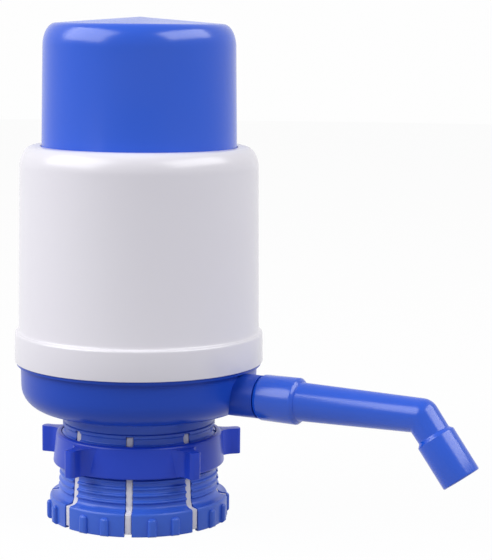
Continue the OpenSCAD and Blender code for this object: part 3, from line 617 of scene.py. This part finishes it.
# Every shoulder and end is bevelled, but not the mitre on the inside of the bend
shoulder_turn, mitre_reach, spout_soft = 28, 7.0, 0.25
shoulders = [e for e in bm.edges if e.is_manifold and e.calc_face_angle() > radians(shoulder_turn)
             and not (e.verts[0].co - bend).length < mitre_reach * MM]
bmesh.ops.bevel(bm, geom=shoulders, offset=spout_soft * MM, offset_type="OFFSET", segments=2, profile=0.5,
                affect="EDGES", clamp_overlap=True, material=-1)
finished(bm, "spout_tube", "spout", blue_abs, "blue_shell", "spout")

# %% [markdown]
# ## Base
#
# The base has ribs, bosses, screw holes and the water channel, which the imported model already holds. A node's own mesh
# is loose triangles and is left alone, so a copy is merged, its flat and round faces are parted by the angle between
# them, and the copy stands for the node.

# %% Base
bm = bmesh.new()
bm.from_mesh(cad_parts["base"].data)
bmesh.ops.remove_doubles(bm, verts=bm.verts, dist=2e-6)
bmesh.ops.dissolve_degenerate(bm, edges=bm.edges, dist=1e-6)
# The base's blue carries painted shade: it is darker than the cap's
finished(bm, "base_bowl", "pump_body", blue_pp_painted_shade, "blue_frame", "base")

# %% [markdown]
# ## Collet
#
# The collet grips the jug's neck with eight springy fingers under a closed collar. One finger's section, with its
# thread ridges, is spun through an eighth of a turn. Two planes, each half a slot's width off the middle of a slot, cut
# it to its real width with parallel sides, and the cuts are filled. Eight copies stand under the collar, which is spun
# all the way round.

# %% Collet: thread
collet_ri, foot_r, foot_h, thread_z, slot_top, thread_top = 29.25, 36.88, 9.5, 11.6, 39.6, 40.4
fingers, slot_w, slot_turn, collar_r, taper = 8, 3.0, 24.5, 31.45, 3.83
ridge_count, ridge_start, ridge_pitch, ridge_h, ridge_foot, ridge_crest = 9, 1.5, 2.8, 0.8, 0.75, 0.3


def crest_r(z):
    """The radius of the thread's crests at a height: the taper makes it wider downwards."""
    return collar_r + (thread_top - z) * tan(radians(taper))


def core_r(z):
    """The radius between the thread's crests."""
    return crest_r(z) - ridge_h


ridges = [point for i in range(ridge_count) for z in [thread_z + ridge_start + ridge_pitch * i]
          for point in ((core_r(z - ridge_foot), z - ridge_foot), (crest_r(z - ridge_crest), z - ridge_crest),
                        (crest_r(z + ridge_crest), z + ridge_crest), (core_r(z + ridge_foot), z + ridge_foot))]
print(ridge_count, "thread ridges, the widest", round(2 * crest_r(thread_z + ridge_start), 1), "mm across")

# %% Collet: one finger
# The foot is hollow below, with a chamfer at its upper edge
hollow_ri, hollow_ro, hollow_h, chamfer_w, chamfer_h = 31.25, 34.88, 7.5, 0.4, 0.8
flare_w = foot_r - chamfer_w - core_r(thread_z)
finger_outline = (
    [(collet_ri, 0), (hollow_ri, 0), (hollow_ri, hollow_h), (hollow_ro, hollow_h), (hollow_ro, 0), (foot_r, 0),
     (foot_r, foot_h - chamfer_h), (foot_r - chamfer_w, foot_h)]
    + arc(foot_r - chamfer_w, thread_z, flare_w, thread_z - foot_h, 262, 180, 6) + ridges
    + [(core_r(38.4), 38.4), (collar_r, 38.8), (collar_r, slot_top), (collet_ri, slot_top)]
)
finger = turned(finger_outline, soft=0.22, steps=22, sharp=(slot_top,), angle=2 * pi / fingers)
for angle, way in ((0, 1), (2 * pi / fingers, -1)):
    across = Vector((-sin(angle), cos(angle), 0)) * way
    bmesh.ops.bisect_plane(finger, geom=finger.verts[:] + finger.edges[:] + finger.faces[:], dist=1e-7,
                           plane_co=across * slot_w / 2 * MM, plane_no=across, clear_inner=True)
bmesh.ops.holes_fill(finger, edges=[e for e in finger.edges if e.is_boundary], sides=0)
print("a finger has", len(finger.faces), "faces")

# %% Collet: grip lugs
# Two lugs stand on each finger's foot, with all edges round but those that are sunk in it or stand on the table
lug_r, lug_depth, lug_w, lug_h, lug_round = 36.78, 3.0, 3.5, 7.5, 1.2
for offset in (-7.5, 7.5):
    lug = bmesh.ops.create_cube(finger, size=1)["verts"]
    bmesh.ops.scale(finger, vec=(lug_depth * MM, lug_w * MM, lug_h * MM), verts=lug)
    bmesh.ops.translate(finger, vec=(lug_r * MM, 0, lug_h / 2 * MM), verts=lug)
    edges = [e for e in {e for v in lug for e in v.link_edges}
             if all(v.co.z > lug_h / 2 * MM for v in e.verts) or all(v.co.x > lug_r * MM for v in e.verts)]
    round_lug = bmesh.ops.bevel(finger, geom=edges, offset=lug_round * MM, offset_type="OFFSET", segments=5,
                                profile=0.5, affect="EDGES", clamp_overlap=True, material=-1)
    turn_by = Matrix.Rotation(pi / fingers + radians(offset), 3, "Z")
    loose = {v for v in lug if v.is_valid} | set(round_lug["verts"])
    bmesh.ops.rotate(finger, cent=(0, 0, 0), matrix=turn_by, verts=list(loose))
bmesh.ops.recalc_face_normals(finger, faces=finger.faces)
print("with its lugs it has", len(finger.faces))

# %% Collet: all fingers and the collar
repeated(finger, fingers)
bmesh.ops.rotate(finger, cent=(0, 0, 0), matrix=Matrix.Rotation(radians(slot_turn), 3, "Z"), verts=finger.verts)
collar_top, plate_z, spigot_r, hub_r = 45.5, 43.0, 30.85, 12.3
collar = turned([(collet_ri, slot_top), (collar_r, slot_top), (collar_r, 40.0), (spigot_r, thread_top),
                 (spigot_r, collar_top), (hub_r, collar_top), (hub_r, plate_z), (collet_ri, plate_z)],
                soft=0.2, steps=176, sharp=(slot_top,))
# The collet's paler blue is painted light from the floor's bounce
finished(joined([finger, collar]), "collet_fingers", "pump_body", collet_pp_painted_bounce, "blue_frame", "collet")

# %% [markdown]
# ## Neck sleeve
#
# A soft sleeve lines the collet, and its eight ribs fill the slots between the fingers nearly flush, so that nothing
# pinches when the ring is tightened. Each rib is the outline of a slot's side, given its width.

# %% Neck sleeve
sleeve_ri, sleeve_ro, sleeve_h = 27.75, 29.0, 40.4
sleeve = turned([(sleeve_ri, 0), (sleeve_ro, 0), (sleeve_ro, sleeve_h), (sleeve_ri, sleeve_h)], soft=0.4)
rib = bmesh.new()
rib_root, rib_low, rib_top, rib_w, rib_soft, shown_r = 28.4, 1, 39.3, slot_w - 0.3, 0.3, 30
rib_outline = [(rib_root, rib_low), (foot_r - 0.5, rib_low), (foot_r - 0.5, foot_h - 0.4),
               (core_r(thread_z) + 0.6, foot_h), (core_r(thread_z) - 0.1, thread_z), (core_r(rib_top) - 0.1, rib_top),
               (rib_root, rib_top)]
side_face = rib.faces.new([rib.verts.new((r * MM, -rib_w / 2 * MM, z * MM)) for r, z in rib_outline])
grown = bmesh.ops.extrude_face_region(rib, geom=[side_face])["geom"]
bmesh.ops.translate(rib, vec=(0, rib_w * MM, 0), verts=[g for g in grown if isinstance(g, bmesh.types.BMVert)])
bmesh.ops.recalc_face_normals(rib, faces=rib.faces)
long_edges = [e for e in rib.edges if min(v.co.x for v in e.verts) > shown_r * MM]
bmesh.ops.bevel(rib, geom=long_edges, offset=rib_soft * MM, offset_type="OFFSET", segments=3, profile=0.5,
                affect="EDGES", clamp_overlap=True, material=-1)
repeated(rib, fingers)
bmesh.ops.rotate(rib, cent=(0, 0, 0), matrix=Matrix.Rotation(radians(slot_turn), 3, "Z"), verts=rib.verts)
finished(joined([sleeve, rib]), "neck_sleeve", "pump_body", white_silicone, "soft_white", "neck_seal")

# %% [markdown]
# ## Wing ring
#
# Turning the ring down the tapered thread closes the fingers. Its wall is a spun section with rounded edges and a
# thread inside. A wing is a plan outline, with a hollow on each side of its root and a rounded tip, drawn up to its
# height and bevelled, as a mould leaves it.

# %% Wing ring: wall
ring_z, ring_h, ring_top_r, ring_bottom_r, ring_edge, ring_foot_edge = 22.9, 13.0, 34.25, 35.36, 1.4, 0.9
ring_top, crest_gap, core_gap = ring_z + ring_h, 0.3, 0.35
# The ring's own thread lies between the collet's ridges
between_ridges, own_foot, own_crest = (34.1, 31.3, 28.5, 25.7), 0.55, 0.25
own_thread = [point for z in between_ridges
              for point in ((crest_r(z + own_foot) + crest_gap, z + own_foot),
                            (core_r(z + own_crest) + core_gap, z + own_crest),
                            (core_r(z - own_crest) + core_gap, z - own_crest),
                            (crest_r(z - own_foot) + crest_gap, z - own_foot))]
ring_wall = turned(
    [(crest_r(ring_z) + crest_gap, ring_z)]
    + arc(ring_bottom_r - ring_foot_edge, ring_z + ring_foot_edge, ring_foot_edge, ring_foot_edge, 270, 360, 6)
    + arc(ring_top_r - ring_edge, ring_top - ring_edge, ring_edge, ring_edge, 0, 90, 8)
    + [(crest_r(ring_top) + crest_gap, ring_top)] + own_thread, soft=0.2, steps=200)
print("the ring's wall has", len(ring_wall.faces), "faces")

# %% Wing ring: plan of a wing
# A hollow's arc cuts a little into the wall and into the wing's side, so that they meet without a slit
wings, wing_t, wing_r, wing_round, wing_turn, hollow, bite = 5, 4.8, 43.65, 1.6, -27, 6.5, 0.08
wing_low, wing_high = ring_z + 0.7, ring_top - ring_edge - 0.1
reach, hollow_y = ring_top_r + hollow - bite, wing_t / 2 + hollow - bite
hollow_x = (reach ** 2 - hollow_y ** 2) ** 0.5
root = (crest_r(ring_z) + 0.8) / reach
lean = degrees(atan2(hollow_y, hollow_x))
half = (
    [(root * hollow_x, -root * hollow_y)]
    + arc(hollow_x, -hollow_y, hollow, hollow, 180 - lean, 92, 10)
    + arc(wing_r - wing_round, -wing_t / 2 + wing_round, wing_round, wing_round, 270, 360, 6)
)
plan = half + [(x, -y) for x, y in reversed(half)]
print("a wing's plan has", len(plan), "points")

# %% Wing ring: wings
wing = bmesh.new()
plan_face = wing.faces.new([wing.verts.new((x * MM, y * MM, wing_low * MM)) for x, y in plan])
grown = bmesh.ops.extrude_face_region(wing, geom=[plan_face])["geom"]
bmesh.ops.translate(wing, vec=(0, 0, (wing_high - wing_low) * MM),
                    verts=[g for g in grown if isinstance(g, bmesh.types.BMVert)])
bmesh.ops.recalc_face_normals(wing, faces=wing.faces)
# The rims outside the wall are bevelled, the upper ones more
rim_from, upper_soft, lower_soft = 34.6, 1.2, 0.6
rim = [e for e in wing.edges
       if abs(e.verts[0].co.z - e.verts[1].co.z) < 1e-7 and min(v.co.x for v in e.verts) > rim_from * MM]
for level, soft in ((wing_high, upper_soft), (wing_low, lower_soft)):
    edges = [e for e in rim if e.is_valid and abs(e.verts[0].co.z - level * MM) < 1e-6]
    bmesh.ops.bevel(wing, geom=edges, offset=soft * MM, offset_type="OFFSET", segments=4, profile=0.5, affect="EDGES",
                    clamp_overlap=True, material=-1)
repeated(wing, wings)
bmesh.ops.rotate(wing, cent=(0, 0, 0), matrix=Matrix.Rotation(radians(wing_turn), 3, "Z"), verts=wing.verts)
# The ring's deeper blue is partly painted shade
finished(joined([ring_wall, wing]), "wing_ring", "ring", ring_pp_part_painted_shade, "blue_frame", "clamp_ring")

# %% [markdown]
# ## Pieces that stay as they are packed
#
# Plates, screws, valve discs and seals sit inside the pump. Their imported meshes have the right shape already, so each
# only gets the finish of its real material.

# %% Pieces that stay as they are packed
finishes = {
    "mouth_gasket": white_silicone, "collet_screws": zinc_steel, "valve_plate": natural_pp,
    "plate_gasket": black_nitrile, "plate_screws": zinc_steel, "outlet_valve": black_nitrile,
    "bellows_clamp": natural_pp, "inlet_plate": natural_pp, "inlet_ring": natural_pp,
    "inlet_valve": black_nitrile, "spout_oring": black_nitrile,
}
for node, material in finishes.items():
    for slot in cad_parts[node].material_slots:
        slot.material = material
print(len(finishes), "packed nodes keep their mesh")

# %% [markdown]
# ## Sizes, and the end
#
# A small function gives a box's two corners in metres, to a hundredth of a millimetre.

# %% Sizes, and the end
def corners(bounds):
    """A box's two corners, in metres to a hundredth of a millimetre."""
    return [[round(c, 5) for c in corner] for corner in bounds]
